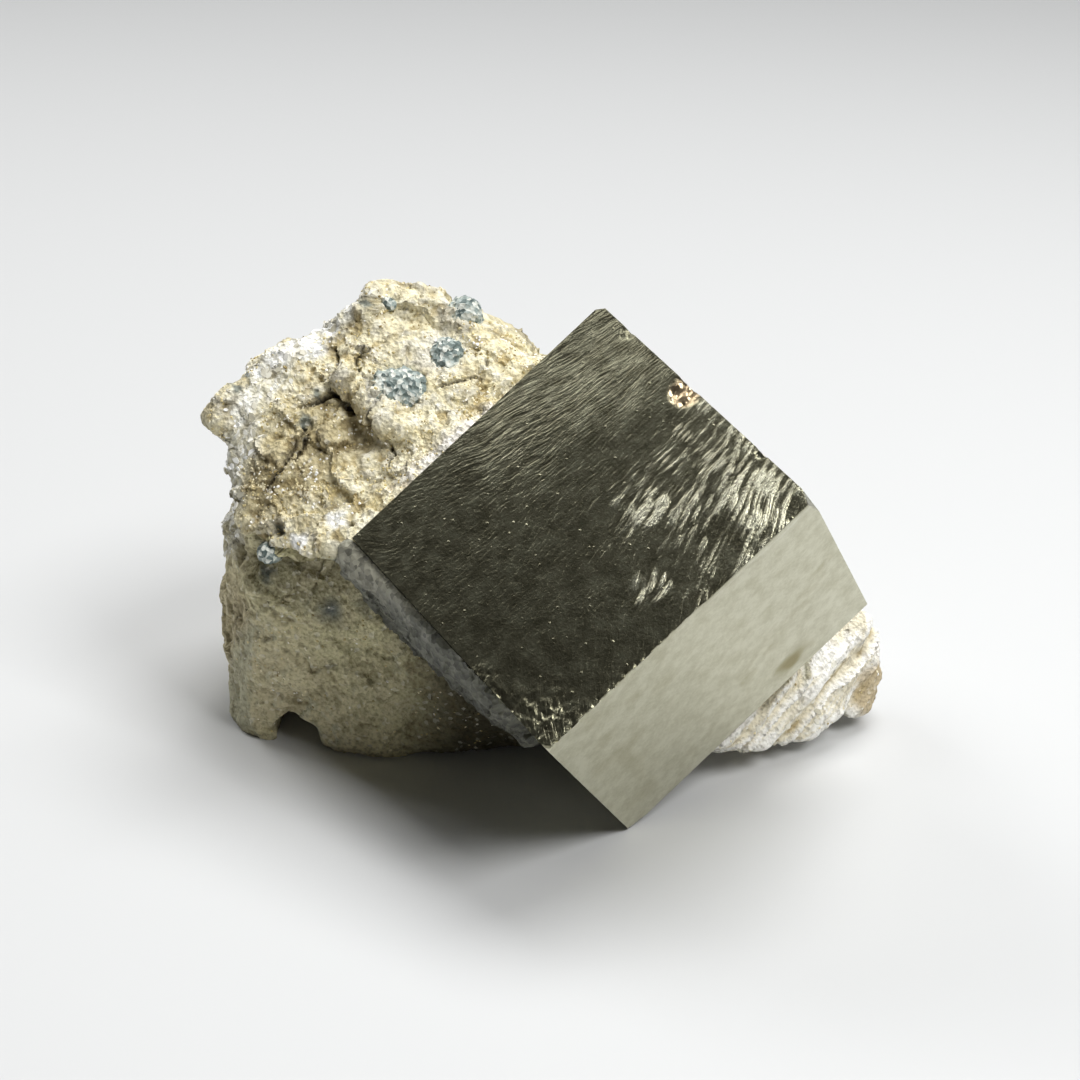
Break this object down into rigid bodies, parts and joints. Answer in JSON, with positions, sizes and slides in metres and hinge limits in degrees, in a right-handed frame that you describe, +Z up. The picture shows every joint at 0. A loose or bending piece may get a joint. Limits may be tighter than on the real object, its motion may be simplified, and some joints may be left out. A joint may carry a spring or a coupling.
{
  "type": "pyrite specimen",
  "caption": "Large pyrite cube set at a tilt in a rough block of pale schist, with a grey quartz selvage along one side and chlorite knots in the rock.",
  "frame": {"origin": "centre of the bounding box's bottom face, on the table", "axes": "+Z up; +X along the specimen's width, from the rock mass towards the crystal's free corner; the crystal's broad face looks towards -Y and up"},
  "size_m": [0.068, 0.0602, 0.0478],
  "materials": {
    "schist": "rough broken cream to brown mica schist, silvery on the split layers",
    "pyrite": "pale brassy grey metallic crystal faces, finely striated",
    "quartz": "grey-blue granular quartz with chlorite, slightly waxy",
    "chlorite": "granular blue-green chlorite speckled with white quartz"
  },
  "bodies": {
    "root": {"matrix_rock": "schist", "pyrite_crystal": "pyrite", "quartz_selvage": "quartz", "chlorite_knot_1": "chlorite", "chlorite_knot_2": "chlorite", "chlorite_knot_3": "chlorite", "chlorite_knot_4": "chlorite", "chlorite_knot_5": "chlorite"}
  },
  "joints": []
}
